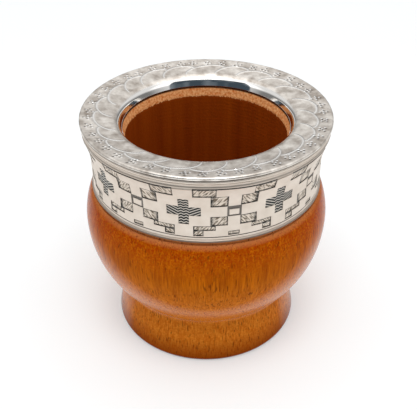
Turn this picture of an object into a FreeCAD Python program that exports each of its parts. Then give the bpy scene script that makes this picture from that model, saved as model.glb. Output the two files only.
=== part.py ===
"""Mate cup: a turned wooden cup with a metal collar and a metal drinking rim.

All lengths are in millimetres. +Z is up, the axis of turning is Z, and the
origin is the middle of the base. The middle of a diamond faces -Y.
"""
import FreeCAD, Part
import math
import os
import re
import Sketcher

doc = FreeCAD.newDocument("mate_cup")


# Driving sizes, each written once

SIZES = {
    # Whole cup
    "height": 79.4,
    "flange_radius": 40.0,
    # Drinking rim, spun from sheet
    "rim_sheet": 0.8,
    "edge_thickness": 1.2,
    "edge_turn": 1.2,
    "dish_angle": 6.4,
    "flange_width": 13.2,
    "throat_roll": 3.15,
    "throat_taper": 19.3,
    "throat_drop": 4.6,
    # Collar, rolled from sheet: its lip carries the edge of the rim
    "lip_inset": 0.5,
    "lip_wall": 1.2,
    "lip_bead_radius": 0.6,
    "lip_bead_inset": 0.3,
    "cove_height": 1.6,
    "cove_reach": 0.7,
    "flare_width": 2.1,
    "band_sheet": 0.8,
    "bead_radius": 0.45,
    "bead_margin": 0.9,
    # Frieze: heights of the steps, then widths along the collar
    "repeats": 8,
    "engrave_depth": 0.2,
    "foot_step_height": 1.9,
    "low_step_height": 1.6,
    "stem_height": 3.3,
    "middle_height": 3.65,
    "tier_height": 3.85,
    "top_height": 3.0,
    "arm_half_width": 2.75,
    "tier_half_width": 7.75,
    "bar_half_width": 5.4,
    "stem_half_width": 1.95,
    "foot_step_width": 3.0,
    "tile_half_width": 1.67,
    "tile_height": 1.4,
    "frame_half_width": 2.1,
    "frame_line": 0.5,
    "frame_bar_height": 1.2,
    "cross_span": 10.0,
    "cross_height": 9.1,
    "cross_arm_width": 3.05,
    "cross_arm_height": 3.2,
    "border_margin": 0.3,
    "border_width": 0.3,
    # Wooden cup, turned in one piece: its belly swells out from under the collar
    "shoulder_reach": 0.2,
    "belly_bulge": 3.0,
    "belly_drop": 12.4,
    "waist_depth": 11.4,
    "waist_height": 15.9,
    "waist_fillet": 3.5,
    "foot_spread": 2.9,
    "foot_fillet": 1.0,
    "bevel_width": 0.75,
    "bevel_height": 2.75,
    "bore_floor": 14.0,
    "bore_round": 12.0,
    # Clearances between the pieces
    "neck_clearance": 0.1,
    "rim_clearance": 0.1,
    "throat_gap": 0.2,
}


def link(alias):
    """The expression that binds a dimension to its cell."""
    return f"<<Sizes>>.{alias}" if alias in SIZES else f"<<Places>>.{alias}"


sizes = doc.addObject("Spreadsheet::Sheet", "Sizes")
for row, (alias, number) in enumerate(SIZES.items(), start=1):
    sizes.set(f"A{row}", alias)
    sizes.set(f"B{row}", str(number))
    sizes.setAlias(f"B{row}", alias)


# Places worked out from the sizes: radii end in _r, heights in _z, angles in _a

PLACES = {
    # Rolled edge of the rim, and the flat ring under it that stands on the collar
    "edge_r": "flange_radius - edge_thickness / 2",
    "edge_z": "height - edge_thickness / 2",
    "seat_z": "height - edge_thickness",
    "seat_in_r": "edge_r - edge_turn",
    # Throat, a cone that leads in, and the roll that touches both it and the dished flange.
    # roll_axis_z is where the line of such rolls' centres meets the axis of turning.
    "throat_r": "flange_radius - flange_width",
    "throat_z": "height - throat_drop",
    "throat_out_r": "throat_r + rim_sheet / cos(throat_taper)",
    "roll_axis_z": "height - (edge_r + throat_roll * sin(dish_angle)) * tan(dish_angle)"
                   " - throat_roll * cos(dish_angle)",
    "roll_r": "(roll_axis_z - throat_z + throat_roll * sin(throat_taper)"
              " + (throat_roll * cos(throat_taper) + throat_r) / tan(throat_taper))"
              " / (1 / tan(throat_taper) - tan(dish_angle))",
    "roll_z": "roll_axis_z + roll_r * tan(dish_angle)",
    "roll_top_r": "roll_r - throat_roll * sin(dish_angle)",
    "roll_top_z": "roll_z + throat_roll * cos(dish_angle)",
    "roll_end_r": "roll_r - throat_roll * cos(throat_taper)",
    "roll_end_z": "roll_z + throat_roll * sin(throat_taper)",
    "under_roll": "throat_roll - rim_sheet",
    "under_roll_r": "roll_r - under_roll * sin(dish_angle)",
    "under_roll_z": "roll_z + under_roll * cos(dish_angle)",
    "under_edge_z": "under_roll_z + (seat_in_r - under_roll_r) * tan(dish_angle)",
    "under_end_r": "roll_r - under_roll * cos(throat_taper)",
    "under_end_z": "roll_z + under_roll * sin(throat_taper)",
    # Collar radii, inwards from the edge of the rim
    "lip_r": "flange_radius - lip_inset",
    "lip_in_r": "lip_r - lip_wall",
    "lip_bead_r": "lip_r - lip_bead_inset",
    "lip_bead_out_r": "lip_bead_r + lip_bead_radius",
    "cove_r": "lip_r + cove_reach",
    "band_r": "lip_r - flare_width",
    "band_in_r": "band_r - band_sheet",
    "bead_r": "band_r + bead_radius",
    # Collar and frieze heights, stepped down from the seat of the rim
    "lip_bead_z": "seat_z - lip_bead_radius",
    "lip_bead_low_z": "seat_z - 2 * lip_bead_radius",
    "border_high_z": "lip_bead_low_z - cove_height",
    "frieze_top_z": "border_high_z - border_width",
    "tier_top_z": "frieze_top_z - top_height",
    "middle_top_z": "tier_top_z - tier_height",
    "flare_start_z": "middle_top_z - middle_height",
    "stem_low_z": "flare_start_z - stem_height",
    "low_step_z": "stem_low_z - low_step_height",
    "frieze_low_z": "low_step_z - foot_step_height",
    "border_low_top_z": "frieze_low_z - border_margin",
    "border_low_z": "border_low_top_z - border_width",
    "border_low_mid_z": "border_low_z + border_width / 2",
    "bead_top_z": "border_low_z - bead_margin",
    "bead_z": "bead_top_z - bead_radius",
    "band_bottom_z": "bead_top_z - 2 * bead_radius",
    # Heights inside the diamonds, the frames and the tiles
    "tile_top_z": "frieze_low_z + tile_height",
    "frame_low_z": "flare_start_z + frame_line",
    "frame_bar_z": "middle_top_z - frame_bar_height",
    "cross_z": "flare_start_z + middle_height / 2",
    "cross_top_z": "cross_z + cross_height / 2",
    "cross_low_z": "cross_z - cross_height / 2",
    "cross_arm_top_z": "cross_z + cross_arm_height / 2",
    "cross_arm_low_z": "cross_z - cross_arm_height / 2",
    # Flare of the collar, an arc upright at its start
    "flare_rise": "frieze_top_z - flare_start_z",
    "flare_arc": "(flare_rise ^ 2 + flare_width ^ 2) / (2 * flare_width)",
    "flare_centre_r": "band_r + flare_arc",
    "flare_in_z": "flare_start_z + sqrt((flare_arc + band_sheet) ^ 2 - (flare_centre_r - lip_in_r) ^ 2)",
    # Frieze floors: the collar's own outline, engrave_depth further in
    "floor_r": "band_r - engrave_depth",
    "floor_arc": "flare_arc + engrave_depth",
    "cutter_r": "lip_bead_out_r + engrave_depth",
    # Frieze angles about Z, from the middle of a diamond or back from its neighbour
    "degrees_per_mm": "180 / (pi * band_r)",
    "half_pitch_a": "180 / repeats",
    "bar_end_a": "half_pitch_a - bar_half_width * degrees_per_mm",
    "stem_end_a": "half_pitch_a - stem_half_width * degrees_per_mm",
    "middle_a": "half_pitch_a - frame_half_width * degrees_per_mm",
    "arm_a": "arm_half_width * degrees_per_mm",
    "tier_a": "tier_half_width * degrees_per_mm",
    "corner_centre_a": "(arm_a + bar_end_a) / 2",
    "corner_width_a": "bar_end_a - arm_a",
    "side_centre_a": "(tier_a + stem_end_a) / 2",
    "side_width_a": "stem_end_a - tier_a",
    "step_width_a": "foot_step_width * degrees_per_mm",
    "step_centre_a": "arm_a + step_width_a / 2",
    "tile_width_a": "2 * tile_half_width * degrees_per_mm",
    "frame_width_a": "2 * (half_pitch_a - middle_a)",
    "frame_line_a": "frame_line * degrees_per_mm",
    "frame_side_a": "middle_a + frame_line_a / 2",
    "cross_span_a": "cross_span * degrees_per_mm",
    "cross_arm_a": "cross_arm_width * degrees_per_mm",
    # Wooden cup outside, from the collar down
    "shoulder_r": "band_r + shoulder_reach",
    "equator_r": "shoulder_r + belly_bulge",
    "equator_z": "band_bottom_z - belly_drop",
    "waist_r": "equator_r - waist_depth",
    "foot_r": "waist_r + foot_spread",
    # Wooden cup: the neck and mouth follow the collar and the rim
    "neck_r": "band_in_r - neck_clearance",
    "mouth_roll": "under_roll - rim_clearance",
    "mouth_roll_r": "roll_r - mouth_roll * sin(dish_angle)",
    "mouth_roll_z": "roll_z + mouth_roll * cos(dish_angle)",
    "neck_top_z": "mouth_roll_z + (neck_r - mouth_roll_r) * tan(dish_angle)",
    "mouth_end_r": "roll_r - mouth_roll * cos(throat_taper)",
    "mouth_end_z": "roll_z + mouth_roll * sin(throat_taper)",
    "mouth_r": "throat_out_r + rim_clearance / cos(throat_taper) - throat_gap * tan(throat_taper)",
    "ledge_z": "throat_z - throat_gap",
    "bevel_low_z": "ledge_z - bevel_height",
    "bore_r": "throat_r - bevel_width",
    "bore_round_z": "bore_floor + bore_round",
    "bore_round_r": "bore_r - bore_round",
}

# Depth of the frieze's floor at each height that lies on the flare
for height_name in ("cross_arm_low_z", "cross_arm_top_z", "cross_top_z", "middle_top_z",
                    "tier_top_z", "frieze_top_z", "frame_low_z", "frame_bar_z"):
    PLACES[height_name[:-2] + "_floor_r"] = (
        f"flare_centre_r - sqrt(floor_arc ^ 2 - ({height_name} - flare_start_z) ^ 2)")

places = doc.addObject("Spreadsheet::Sheet", "Places")
place_cells = {alias: f"B{row}" for row, alias in enumerate(PLACES, start=1)}
for alias, cell in place_cells.items():
    places.set(cell.replace("B", "A"), alias)
    places.setAlias(cell, alias)
for alias, formula in PLACES.items():
    bound = re.sub(r"[a-z_]+", lambda word: link(word[0]) if word[0] in SIZES else word[0], formula)
    places.set(place_cells[alias], "=" + bound)
doc.recompute()


def size(alias):
    """Present value of a driving size or a place."""
    return float(getattr(sizes if alias in SIZES else places, alias))


# Sketching

def origin_feature(body, role):
    """A plane or axis of the body's own origin."""
    return next(item for item in body.Origin.OriginFeatures if item.Role == role)


def new_sketch(body, name, turned_by=None):
    """Sketch on the body's XZ plane, turned about Z by a named angle if one is given."""
    sketch = body.newObject("Sketcher::SketchObject", name)
    sketch.AttachmentSupport = [(origin_feature(body, "XZ_Plane"), "")]
    sketch.MapMode = "FlatFace"
    if turned_by is not None:
        turn = FreeCAD.Rotation(FreeCAD.Vector(0, 1, 0), 1)
        sketch.AttachmentOffset = FreeCAD.Placement(FreeCAD.Vector(), turn)
        sketch.setExpression(".AttachmentOffset.Rotation.Angle", turned_by)
    return sketch


def arc_centre(first, last, level):
    """Centre of the arc from first to last that lies at the same height as the point level."""
    run = last[0] - first[0]
    rise = last[1] - first[1]
    half_gap = (last[0] ** 2 + last[1] ** 2 - first[0] ** 2 - first[1] ** 2) / 2
    return ((half_gap - rise * level[1]) / run, level[1])


def arc_centre_at_radius(first, last, centre_r):
    """Centre of the arc from first to last that lies at the radius centre_r."""
    run = last[0] - first[0]
    rise = last[1] - first[1]
    half_gap = (last[0] ** 2 + last[1] ** 2 - first[0] ** 2 - first[1] ** 2) / 2
    return (centre_r, (half_gap - run * centre_r) / rise)


def draw_outline(sketch, corners, arcs=None):
    """Closed outline through corners, each a pair of names (radius, height).

    A name of None puts the corner on the axis or on the base. arcs tells which
    stretches are round, by the number of the corner they start from: "level"
    and "level end" put the centre at the height of the start or the end, and
    any other text names the centre's radius.
    """
    arcs = arcs or {}
    points = [(size(r) if r else 0.0, size(z) if z else 0.0) for r, z in corners]
    ends = []
    for number, first in enumerate(points):
        last = points[(number + 1) % len(points)]
        kind = arcs.get(number)
        if kind is None:
            stretch = Part.LineSegment(FreeCAD.Vector(*first, 0), FreeCAD.Vector(*last, 0))
            ends.append((sketch.addGeometry(stretch), 1, 2))
            continue
        if kind == "level":
            centre = arc_centre(first, last, first)
        elif kind == "level end":
            centre = arc_centre(first, last, last)
        else:
            centre = arc_centre_at_radius(first, last, size(kind))
        radius = math.dist(centre, first)
        from_a = math.atan2(first[1] - centre[1], first[0] - centre[0])
        to_a = math.atan2(last[1] - centre[1], last[0] - centre[0])
        turn = (to_a - from_a + math.pi) % (2 * math.pi) - math.pi
        circle = Part.Circle(FreeCAD.Vector(*centre, 0), FreeCAD.Vector(0, 0, 1), radius)
        if turn > 0:
            ends.append((sketch.addGeometry(Part.ArcOfCircle(circle, from_a, from_a + turn)), 1, 2))
        else:
            ends.append((sketch.addGeometry(Part.ArcOfCircle(circle, to_a, to_a - turn)), 2, 1))
    for number, (curve, start, finish) in enumerate(ends):
        following, its_start, _ = ends[(number + 1) % len(ends)]
        sketch.addConstraint(Sketcher.Constraint("Coincident", curve, finish, following, its_start))
        radius_name, height_name = corners[number]
        pin(sketch, curve, start, "DistanceX", radius_name, -2)
        pin(sketch, curve, start, "DistanceY", height_name, -1)
        kind = arcs.get(number)
        if kind in ("level", "level end"):
            level_with = start if kind == "level" else finish
            sketch.addConstraint(Sketcher.Constraint("Horizontal", curve, 3, curve, level_with))
        elif kind is not None:
            pin(sketch, curve, 3, "DistanceX", kind, -2)


def pin(sketch, curve, point, direction, alias, axis):
    """Hold one coordinate of a point at a named distance, or on the axis if it has no name."""
    if alias is None:
        sketch.addConstraint(Sketcher.Constraint("PointOnObject", curve, point, axis))
        return
    number = sketch.addConstraint(
        Sketcher.Constraint(direction, -1, 1, curve, point, size(alias)))
    sketch.setExpression(f"Constraints[{number}]", link(alias))


def revolve(body, name, corners, arcs=None):
    """Full turn of a closed outline about Z."""
    sketch = new_sketch(body, name + "_outline")
    draw_outline(sketch, corners, arcs)
    turned = body.newObject("PartDesign::Revolution", name)
    turned.Profile = sketch
    turned.ReferenceAxis = (sketch, ["V_Axis"])
    turned.Angle = 360
    sketch.Visibility = False
    return turned


def round_circle(body, name, alias, radius, height):
    """Fillet, of a named radius, on the circle of the given radius and height about Z."""
    doc.recompute()
    base = body.Tip
    for number, edge in enumerate(base.Shape.Edges, start=1):
        curve = edge.Curve
        if not isinstance(curve, Part.Circle) or abs(curve.Radius - radius) > 1e-4:
            continue
        if abs(curve.Center.z - height) < 1e-4:
            break
    else:
        raise RuntimeError(f"{name}: no circle of radius {radius} at height {height}")
    fillet = body.newObject("PartDesign::Fillet", name)
    fillet.Base = (base, [f"Edge{number}"])
    fillet.setExpression("Radius", link(alias))
    return fillet


# The pieces

def make_wooden_cup():
    """Foot, waist and belly turned outside, and a round-bottomed bore inside."""
    body = doc.addObject("PartDesign::Body", "wooden_cup")
    corners = [
        (None, None),
        ("foot_r", None),
        ("waist_r", "waist_height"),
        ("equator_r", "equator_z"),
        ("shoulder_r", "band_bottom_z"),
        ("neck_r", "band_bottom_z"),
        ("neck_r", "neck_top_z"),
        ("mouth_roll_r", "mouth_roll_z"),
        ("mouth_end_r", "mouth_end_z"),
        ("mouth_r", "ledge_z"),
        ("throat_r", "ledge_z"),
        ("bore_r", "bevel_low_z"),
        ("bore_r", "bore_round_z"),
        ("bore_round_r", "bore_floor"),
        (None, "bore_floor"),
    ]
    arcs = {2: "level end", 3: "level", 7: "roll_r", 12: "level"}
    revolve(body, "turned_cup", corners, arcs)
    round_circle(body, "waist_round", "waist_fillet", size("waist_r"), size("waist_height"))
    round_circle(body, "foot_round", "foot_fillet", size("foot_r"), 0.0)
    return body


def make_rim_ring():
    """Dished flange with a rolled edge outside, rolled over inside into a tapered throat."""
    body = doc.addObject("PartDesign::Body", "rim_ring")
    corners = [
        ("edge_r", "height"),
        ("roll_top_r", "roll_top_z"),
        ("roll_end_r", "roll_end_z"),
        ("throat_r", "throat_z"),
        ("throat_out_r", "throat_z"),
        ("under_end_r", "under_end_z"),
        ("under_roll_r", "under_roll_z"),
        ("seat_in_r", "under_edge_z"),
        ("seat_in_r", "seat_z"),
        ("edge_r", "seat_z"),
        ("flange_radius", "edge_z"),
    ]
    arcs = {1: "roll_r", 5: "roll_r", 9: "level end", 10: "level"}
    revolve(body, "spun_rim", corners, arcs)
    return body


def make_collar_band():
    """Sleeve with a beaded foot and a flared lip, engraved with the stepped frieze."""
    body = doc.addObject("PartDesign::Body", "collar_band")
    corners = [
        ("band_in_r", "band_bottom_z"),
        ("band_r", "band_bottom_z"),
        ("bead_r", "bead_z"),
        ("band_r", "bead_top_z"),
        ("band_r", "border_low_z"),
        ("floor_r", "border_low_mid_z"),
        ("band_r", "border_low_top_z"),
        ("band_r", "flare_start_z"),
        ("lip_r", "frieze_top_z"),
        ("frieze_top_floor_r", "frieze_top_z"),
        ("frieze_top_floor_r", "border_high_z"),
        ("lip_r", "border_high_z"),
        ("lip_bead_r", "lip_bead_low_z"),
        ("lip_bead_out_r", "lip_bead_z"),
        ("lip_bead_r", "seat_z"),
        ("lip_in_r", "seat_z"),
        ("lip_in_r", "flare_in_z"),
        ("band_in_r", "flare_start_z"),
    ]
    arcs = {1: "level end", 2: "level", 7: "level", 11: "cove_r", 12: "level end",
            13: "level", 16: "level end"}
    revolve(body, "rolled_sleeve", corners, arcs)
    engrave_frieze(body)
    return body


def engrave_frieze(body):
    """Matted recesses between and inside the stepped diamonds, once round the collar."""
    def rows(*bands):
        """Outlines of recesses that lie between pairs of heights, with their floors."""
        return [[(floor_low, low), ("cutter_r", low), ("cutter_r", high), (floor_high, high)]
                for low, floor_low, high, floor_high in bands]

    on_band = "floor_r"
    upright = [[(on_band, "cross_low_z"), ("cutter_r", "cross_low_z"),
                ("cutter_r", "cross_top_z"), ("cross_top_floor_r", "cross_top_z"),
                ("cross_arm_top_floor_r", "cross_arm_top_z"), (on_band, "flare_start_z")]]
    recesses = {
        "sides": (rows(("stem_low_z", on_band, "flare_start_z", on_band),
                       ("middle_top_z", "middle_top_floor_r",
                        "tier_top_z", "tier_top_floor_r")),
                  "side_centre_a", "side_width_a"),
        "corners": (rows(("low_step_z", on_band, "stem_low_z", on_band),
                         ("tier_top_z", "tier_top_floor_r",
                          "frieze_top_z", "frieze_top_floor_r")),
                    "corner_centre_a", "corner_width_a"),
        "steps": (rows(("frieze_low_z", on_band, "low_step_z", on_band)),
                  "step_centre_a", "step_width_a"),
        "frame_sides": (rows(("frame_low_z", "frame_low_floor_r",
                              "frame_bar_z", "frame_bar_floor_r")),
                        "frame_side_a", "frame_line_a"),
        "frame_bars": (rows(("flare_start_z", on_band, "frame_low_z", "frame_low_floor_r"),
                            ("frame_bar_z", "frame_bar_floor_r",
                             "middle_top_z", "middle_top_floor_r")),
                       "half_pitch_a", "frame_width_a"),
        "tile": (rows(("frieze_low_z", on_band, "tile_top_z", on_band)),
                 "half_pitch_a", "tile_width_a"),
        "cross_arms": (rows(("cross_arm_low_z", "cross_arm_low_floor_r",
                             "cross_arm_top_z", "cross_arm_top_floor_r")),
                       None, "cross_span_a"),
        "cross_upright": (upright, None, "cross_arm_a"),
    }
    mirrored = ("frame_sides", "corners", "sides", "steps")
    front_a = -90
    for name, (outlines, centre_a, width_a) in recesses.items():
        angle = f"{front_a}" if centre_a is None else f"{front_a} + {link(centre_a)}"
        sketch = new_sketch(body, name + "_outline", angle)
        for corners in outlines:
            draw_outline(sketch, corners)
        cut = body.newObject("PartDesign::Groove", name)
        cut.Profile = sketch
        cut.ReferenceAxis = (sketch, ["V_Axis"])
        cut.Midplane = True
        cut.Refine = False
        cut.setExpression("Angle", link(width_a))
        sketch.Visibility = False
        doc.recompute()
        before = cut.BaseFeature.Shape.Volume
        if not cut.Shape.Volume < before:
            raise RuntimeError(f"{name} cuts nothing")
        repeat_round(body, cut, name in mirrored)


def repeat_round(body, cut, both_sides):
    """Repeat a recess at each diamond, on both sides of it if both_sides is set."""
    ring = body.newObject("PartDesign::PolarPattern", cut.Name + "_ring")
    if both_sides:
        mirror = body.newObject("PartDesign::Mirrored", cut.Name + "_mirror")
        mirror.MirrorPlane = (origin_feature(body, "YZ_Plane"), [""])
        pattern = body.newObject("PartDesign::MultiTransform", cut.Name + "_pattern")
        pattern.Originals = [cut]
        pattern.Transformations = [mirror, ring]
    else:
        pattern = ring
        ring.Originals = [cut]
    pattern.Refine = False
    ring.Axis = (origin_feature(body, "Z_Axis"), [""])
    ring.Angle = 360
    ring.setExpression("Occurrences", link("repeats"))
    body.Tip = pattern


bodies = [make_wooden_cup(), make_rim_ring(), make_collar_band()]
doc.recompute()

for item in doc.Objects:
    if "Invalid" in item.State or "Error" in item.State:
        raise RuntimeError(f"{item.Name} failed: {item.State}")

os.makedirs("parts", exist_ok=True)
for body in bodies:
    shape = body.Shape
    if shape.isNull() or not shape.isValid():
        raise RuntimeError(f"{body.Label} has no valid shape")
    body.Placement = FreeCAD.Placement()
    shape.exportStep(f"parts/{body.Label}.step")
    box = shape.optimalBoundingBox()
    print(f"{body.Label}: volume {shape.Volume:.1f} mm3, {len(shape.Faces)} faces,"
          f" x {box.XMin:.2f}..{box.XMax:.2f}, z {box.ZMin:.2f}..{box.ZMax:.2f}")
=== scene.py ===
# %% [markdown]
# A mate cup, dressed in Blender.
# The cup is three pieces: a turned wooden body, a metal collar engraved with a
# frieze of stepped diamonds, and a spun metal rim to drink from. The CAD model
# gives their sizes. Here each one is worked out again on a finer grid, because
# engraving and polished metal show every facet, and gets its real finish.

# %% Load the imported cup
import math

import bpy
import numpy as np
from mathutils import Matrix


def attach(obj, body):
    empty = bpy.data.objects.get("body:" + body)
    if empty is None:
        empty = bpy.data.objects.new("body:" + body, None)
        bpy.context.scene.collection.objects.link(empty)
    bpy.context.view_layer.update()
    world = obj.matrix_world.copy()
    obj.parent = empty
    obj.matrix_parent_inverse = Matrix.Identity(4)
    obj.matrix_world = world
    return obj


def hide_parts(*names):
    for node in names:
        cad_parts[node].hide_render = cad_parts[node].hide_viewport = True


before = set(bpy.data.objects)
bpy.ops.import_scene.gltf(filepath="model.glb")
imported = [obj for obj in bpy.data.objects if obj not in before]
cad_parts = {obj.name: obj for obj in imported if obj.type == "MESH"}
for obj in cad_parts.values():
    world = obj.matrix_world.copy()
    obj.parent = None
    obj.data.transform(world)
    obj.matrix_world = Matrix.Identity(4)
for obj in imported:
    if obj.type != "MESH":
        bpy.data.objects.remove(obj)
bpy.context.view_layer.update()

MM = 0.001
print("nodes:", list(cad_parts))

# %% [markdown]
# A camera is a place, a direction and a lens. These were found by matching the
# ellipses of the rim, the collar and the foot to the photograph: the camera
# stands about a quarter of a metre away and looks down by 35 degrees. A small
# shift slides the picture without turning the camera.

# %% Camera
LOOK_AT = np.array([0.0, 0.0, 43.12]) * MM
CAMERA_DISTANCE = 254.4 * MM
CAMERA_RISE = math.radians(34.76)
CAMERA_TURN = math.radians(10.0)
LENS, SENSOR = 63.83, 36.0
IMAGE_WIDTH, SLIDE_PIXELS = 417, 2.3

toward_camera = np.array([math.cos(CAMERA_RISE) * math.sin(CAMERA_TURN),
                          -math.cos(CAMERA_RISE) * math.cos(CAMERA_TURN),
                          math.sin(CAMERA_RISE)])
camera_data = bpy.data.cameras.new("camera")
camera_data.lens = LENS
camera_data.sensor_width = SENSOR
camera_data.shift_x = SLIDE_PIXELS / IMAGE_WIDTH
camera = bpy.data.objects.new("camera", camera_data)
camera.location = LOOK_AT + CAMERA_DISTANCE * toward_camera
camera.rotation_euler = (math.pi / 2 - CAMERA_RISE, 0.0, CAMERA_TURN)
bpy.context.scene.collection.objects.link(camera)
bpy.context.scene.camera = camera
print("camera at", [round(value, 4) for value in camera.location])

# %% [markdown]
# Colours are written as designers write them, in sRGB hex, and Blender works in
# linear light, so one function turns them round. A shader is a graph of small
# nodes, so one function adds a node, sets it and links it, and a few short ones
# stand for the nodes that come up again and again. That keeps each material
# short enough to read from top to bottom.

# %% Helpers for colours and nodes
def linear(code):
    """Linear RGBA of an sRGB hex colour, by the sRGB curve."""
    parts = np.array([int(code[place:place + 2], 16) for place in (1, 3, 5)]) / 255
    curve = np.where(parts <= 0.04045, parts / 12.92, ((parts + 0.055) / 1.055) ** 2.4)
    return (*curve.tolist(), 1.0)


def add_node(tree, kind, inputs=None, **settings):
    """Node of a kind with its settings; an input is a value or another node's output."""
    node = tree.nodes.new(kind)
    for name, value in settings.items():
        setattr(node, name, value)
    for socket, value in (inputs or {}).items():
        if isinstance(value, bpy.types.NodeSocket):
            tree.links.new(value, node.inputs[socket])
        else:
            node.inputs[socket].default_value = value
    return node


def maths(tree, operation, *values):
    """Result of one sum, product or other operation on two or three values."""
    return add_node(tree, "ShaderNodeMath", dict(enumerate(values)), operation=operation).outputs["Value"]


def ramp(tree, value, low, high, first=0.0, last=1.0):
    """Straight line from first, where the value is low, to last, where it is high; level beyond them."""
    return add_node(tree, "ShaderNodeMapRange", {"Value": value, "From Min": low, "From Max": high,
                                                 "To Min": first, "To Max": last}).outputs["Result"]


# A Mix node has a set of sockets for each type of value: the factor, two inputs and the output
FACTOR, COLOUR_A, COLOUR_B, COLOUR_OUT = 0, 6, 7, 2
NUMBER_A, NUMBER_B, NUMBER_OUT = 2, 3, 0


def mix(tree, factor, start, end):
    """Colour that goes from start to end as the factor goes from 0 to 1; each is a hex code or an output."""
    start, end = (linear(colour) if isinstance(colour, str) else colour for colour in (start, end))
    return add_node(tree, "ShaderNodeMix", {FACTOR: factor, COLOUR_A: start, COLOUR_B: end},
                    data_type="RGBA").outputs[COLOUR_OUT]


def mix_numbers(tree, factor, start, end):
    """Number that goes from start to end as the factor goes from 0 to 1."""
    return add_node(tree, "ShaderNodeMix", {FACTOR: factor, NUMBER_A: start, NUMBER_B: end}).outputs[NUMBER_OUT]


def noise(tree, place, size, detail, roughness=0.5):
    """Cloudy pattern whose patches are about size across; detail adds finer and finer ones."""
    return add_node(tree, "ShaderNodeTexNoise", {"Vector": place, "Scale": 1 / size, "Detail": detail,
                                                 "Roughness": roughness}).outputs["Fac"]


def scaled(tree, place, factors):
    """Place stretched or squeezed along each axis."""
    return add_node(tree, "ShaderNodeMapping", {"Vector": place, "Scale": factors}).outputs["Vector"]


def new_material(name):
    """Empty node material, its tree and its output node."""
    material = bpy.data.materials.new(name)
    material.use_nodes = True
    material.node_tree.nodes.clear()
    output = material.node_tree.nodes.new("ShaderNodeOutputMaterial")
    return material, material.node_tree, output


def object_place(tree):
    """Place in the piece's own space, in metres."""
    return add_node(tree, "ShaderNodeTexCoord").outputs["Object"]


def one_axis(tree, vector, axis):
    """One coordinate of a place or a direction."""
    return add_node(tree, "ShaderNodeSeparateXYZ", {0: vector}).outputs[axis]


def stored(tree, *labels):
    """Values stored on the points of the mesh, one output for each label."""
    return [add_node(tree, "ShaderNodeAttribute", attribute_name=label).outputs["Fac"] for label in labels]


def principled(tree, output, inputs):
    """Surface of a material, with the given inputs of the Principled shader."""
    surface = add_node(tree, "ShaderNodeBsdfPrincipled", inputs)
    tree.links.new(surface.outputs["BSDF"], output.inputs["Surface"])


# %% [markdown]
# The cup stands on a sweep of white paper. Matt paper alone would come out grey
# wherever little light falls, so a share of it glows, for the camera and for
# mirrors only. The rest is true matt paper, which keeps the cup's soft shadow
# and throws light back up at the foot.

# %% Floor
FLOOR_SIZE, GLOW_SHARE = 6.0, 0.3
WHITE = (1.0, 1.0, 1.0, 1.0)
half = FLOOR_SIZE / 2
floor_mesh = bpy.data.meshes.new("floor")
floor_mesh.from_pydata([(-half, -half, 0), (half, -half, 0), (half, half, 0), (-half, half, 0)],
                       [], [(0, 1, 2, 3)])
floor = bpy.data.objects.new("floor", floor_mesh)
bpy.context.scene.collection.objects.link(floor)

# White paper: an even white ground with a faint shadow
paper, tree, output = new_material("white_paper_sweep")
matt = add_node(tree, "ShaderNodeBsdfDiffuse", {"Color": linear("#FBFEFF")}).outputs["BSDF"]
glow = add_node(tree, "ShaderNodeEmission", {"Color": WHITE, "Strength": 1.0}).outputs["Emission"]
ray = add_node(tree, "ShaderNodeLightPath").outputs
looked_at = maths(tree, "MAXIMUM", ray["Is Camera Ray"], ray["Is Glossy Ray"])
share = maths(tree, "MULTIPLY", looked_at, GLOW_SHARE)
surface = add_node(tree, "ShaderNodeMixShader", {0: share, 1: matt, 2: glow})
tree.links.new(surface.outputs["Shader"], output.inputs["Surface"])
floor_mesh.materials.append(paper)
print(f"floor {FLOOR_SIZE:.0f} m wide")

# %% [markdown]
# Round it hangs a tent of white cloth. Metal shows what stands round it, so the
# tent has the opening that a camera looks in through: from the floor up to 43
# degrees, and a third of the way round. The polished throat of the real rim
# mirrors that opening as a dark bluish shape. The cloth is white overhead and in
# front, grey round the sides and back, and darker near the floor, which keeps
# the satin metal from turning flat white. The camera itself sees plain white.

# %% Tent
TENT_WHITE, TENT_GREY, TENT_LOW = (1.37, 1.37, 1.37, 1.0), (0.78, 0.78, 0.78, 1.0), (0.20, 0.20, 0.20, 1.0)
ROOM_DARK, ROOM_PALE = (0.05, 0.07, 0.09, 1.0), (0.20, 0.23, 0.26, 1.0)
OPENING_LEFT, OPENING_RIGHT, OPENING_TOP = math.radians(62.0), math.radians(51.5), math.radians(43.5)
SIDE_BLUR, TOP_BLUR = 0.03, 0.02

# These are heights in the tent, or shares of the way to the front, as sines from -1 to 1
FRONT, CEILING, SKIRT = (0.05, 0.3), (0.68, 0.9), (0.36, 0.14)
THINGS_SCALE, THINGS_RANGE = 3.5, (0.45, 0.7)

world = bpy.data.worlds.new("studio")
world.use_nodes = True
bpy.context.scene.world = world
tree = world.node_tree
tree.nodes.clear()
direction = add_node(tree, "ShaderNodeTexCoord").outputs["Generated"]


def toward(heading):
    """How far the direction points along a heading, by their dot product."""
    return add_node(tree, "ShaderNodeVectorMath", {0: direction, 1: heading},
                    operation="DOT_PRODUCT").outputs["Value"]


edges = (CAMERA_TURN - OPENING_LEFT, CAMERA_TURN + OPENING_RIGHT + math.pi)
past_left, past_right = (ramp(tree, toward((math.cos(edge), math.sin(edge), 0.0)), 0.0, SIDE_BLUR)
                         for edge in edges)
upward = one_axis(tree, direction, "Z")
below = ramp(tree, upward, math.sin(OPENING_TOP) + TOP_BLUR, math.sin(OPENING_TOP) - TOP_BLUR)
opening = maths(tree, "MULTIPLY", maths(tree, "MULTIPLY", past_left, past_right), below)

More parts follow.
